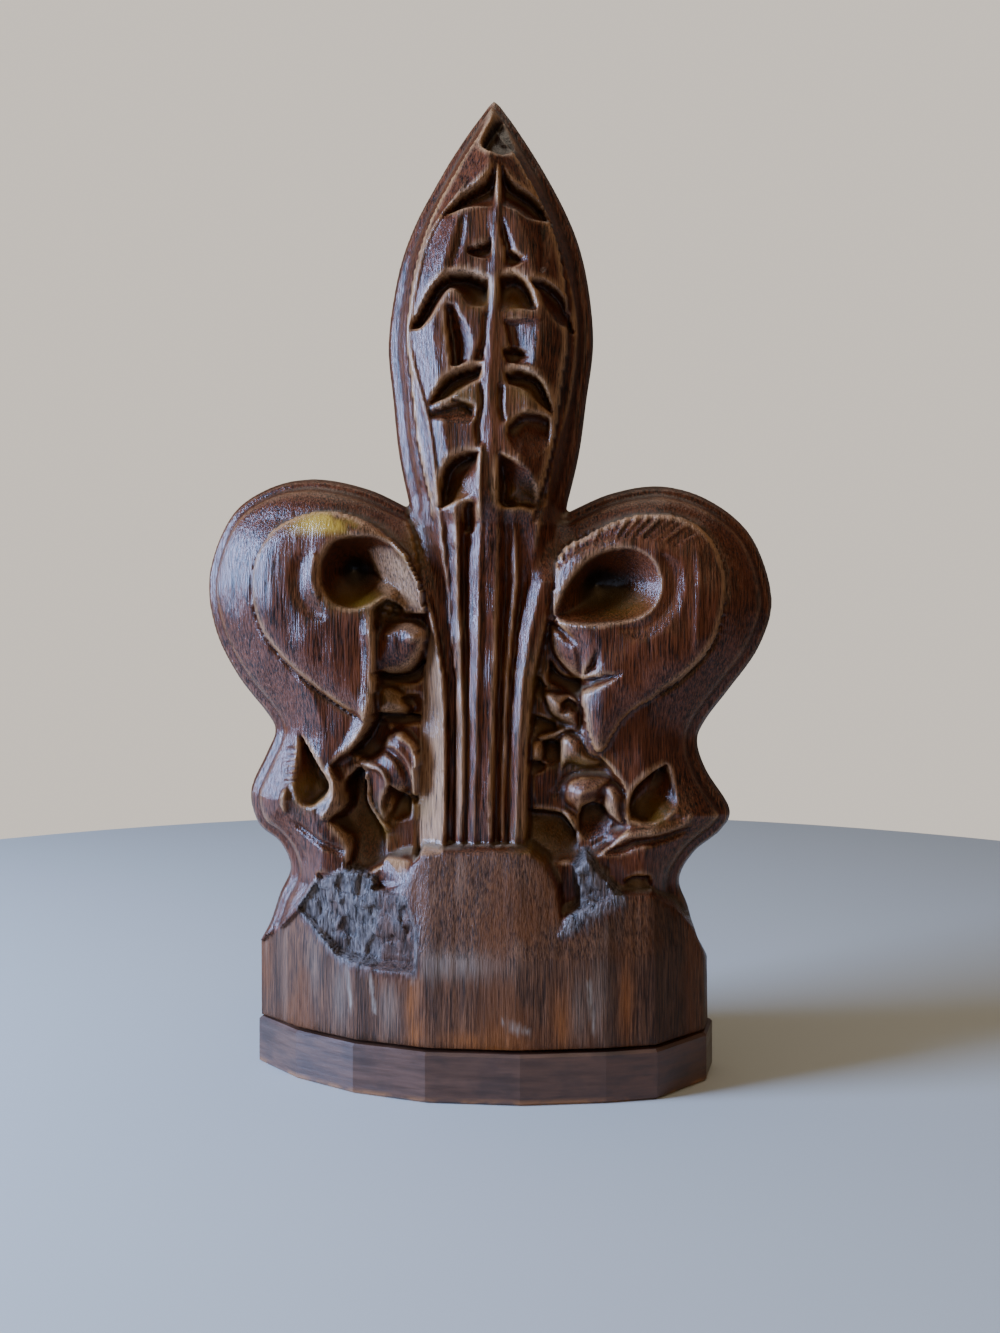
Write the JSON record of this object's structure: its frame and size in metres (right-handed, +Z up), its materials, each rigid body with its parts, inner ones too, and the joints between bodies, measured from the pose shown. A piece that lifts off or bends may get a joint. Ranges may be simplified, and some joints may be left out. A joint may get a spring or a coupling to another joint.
{
  "type": "poppy head finial",
  "caption": "Carved oak poppy head, a fleur-de-lis finial sawn off a bench end, standing on its rough block and a thin base slab",
  "frame": {"origin": "centre of the base slab's underside, on the surface that it stands on", "axes": "+Z up through the tip of the spear, +X to the right as the carved front is faced, -Y out of the carved front"},
  "size_m": [0.1814, 0.0712, 0.31],
  "materials": {
    "stained_oak": "dark stained and waxed oak, worn pale on the edges, rough sawn and torn on the lower block",
    "slab_oak": "dark brown stained board, dull satin, rubbed to bare wood along the lower edge"
  },
  "bodies": {
    "root": {"carved_head": "stained_oak", "base_slab": "slab_oak"}
  },
  "joints": []
}
